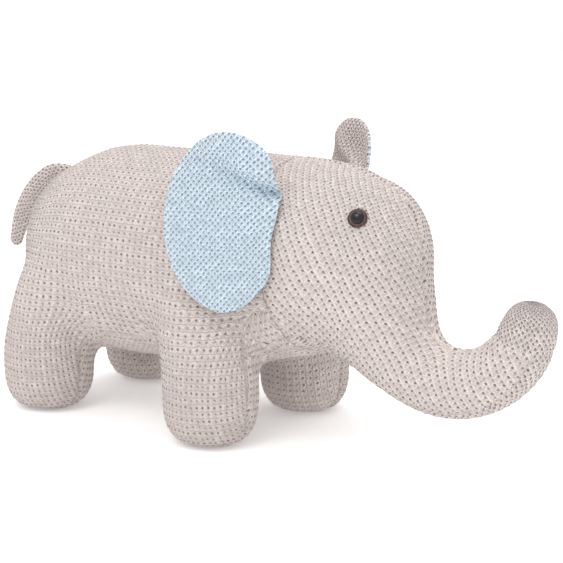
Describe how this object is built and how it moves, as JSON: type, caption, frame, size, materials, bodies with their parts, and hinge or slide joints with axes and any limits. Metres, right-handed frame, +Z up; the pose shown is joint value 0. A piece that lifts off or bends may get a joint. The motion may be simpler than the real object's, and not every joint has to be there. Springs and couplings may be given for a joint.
{
  "type": "stuffed toy elephant",
  "caption": "Stuffed knitted elephant standing on sewn-in legs, with a trunk curling up at its end, loose two-layer ears, a small flat tail and safety eyes.",
  "frame": {"origin": "on the floor under the middle of the object's bounding box", "axes": "+X where the elephant looks, +Y its left side, +Z up"},
  "size_m": [0.418, 0.1642, 0.1887],
  "materials": {
    "knit_beige": "matte moss-stitch cotton knit",
    "knit_blue": "matte moss-stitch cotton knit",
    "filling": "loose polyester fibre",
    "eye_brown": "glossy moulded",
    "eye_black": "glossy moulded",
    "washer_plastic": "moulded, satin"
  },
  "bodies": {
    "body": {"torso_side_right": "knit_beige", "torso_side_left": "knit_beige", "belly_gusset": "knit_beige", "head_side_right": "knit_beige", "head_side_left": "knit_beige", "chin_gusset": "knit_beige", "torso_stuffing": "filling", "leg_stuffing_front_right": "filling", "leg_stuffing_front_left": "filling", "leg_stuffing_rear_right": "filling", "leg_stuffing_rear_left": "filling", "head_stuffing": "filling", "eye_disc_right": "eye_brown", "eye_pupil_right": "eye_black", "eye_washer_right": "washer_plastic", "eye_disc_left": "eye_brown", "eye_pupil_left": "eye_black", "eye_washer_left": "washer_plastic"},
    "trunk": {"trunk_side_right": "knit_beige", "trunk_side_left": "knit_beige", "trunk_gusset": "knit_beige", "trunk_tip_cap": "knit_beige", "trunk_stuffing": "filling"},
    "ear_right": {"ear_front_right": "knit_blue", "ear_back_right": "knit_beige", "ear_wadding_right": "filling"},
    "ear_left": {"ear_front_left": "knit_blue", "ear_back_left": "knit_beige", "ear_wadding_left": "filling"},
    "tail": {"tail": "knit_beige"}
  },
  "joints": [
    {"name": "trunk_bend", "type": "hinge", "parent": "body", "child": "trunk", "pos_m": [0.1089, 0, 0.068], "axis": [0, -1, 0], "range_deg": [-12, 15], "stiffness_Nm_per_rad": 1},
    {"name": "ear_right_flap", "type": "hinge", "parent": "body", "child": "ear_right", "pos_m": [0.0559, -0.0525, 0.13], "axis": [0, 0, 1], "range_deg": [-3, 60], "stiffness_Nm_per_rad": 0.01},
    {"name": "ear_left_flap", "type": "hinge", "parent": "body", "child": "ear_left", "pos_m": [0.0559, 0.0525, 0.13], "axis": [0, 0, -1], "range_deg": [-3, 60], "stiffness_Nm_per_rad": 0.01},
    {"name": "tail_lift", "type": "hinge", "parent": "body", "child": "tail", "pos_m": [-0.1543, 0, 0.147], "axis": [0, 1, 0], "range_deg": [-6, 60], "stiffness_Nm_per_rad": 0.02}
  ]
}
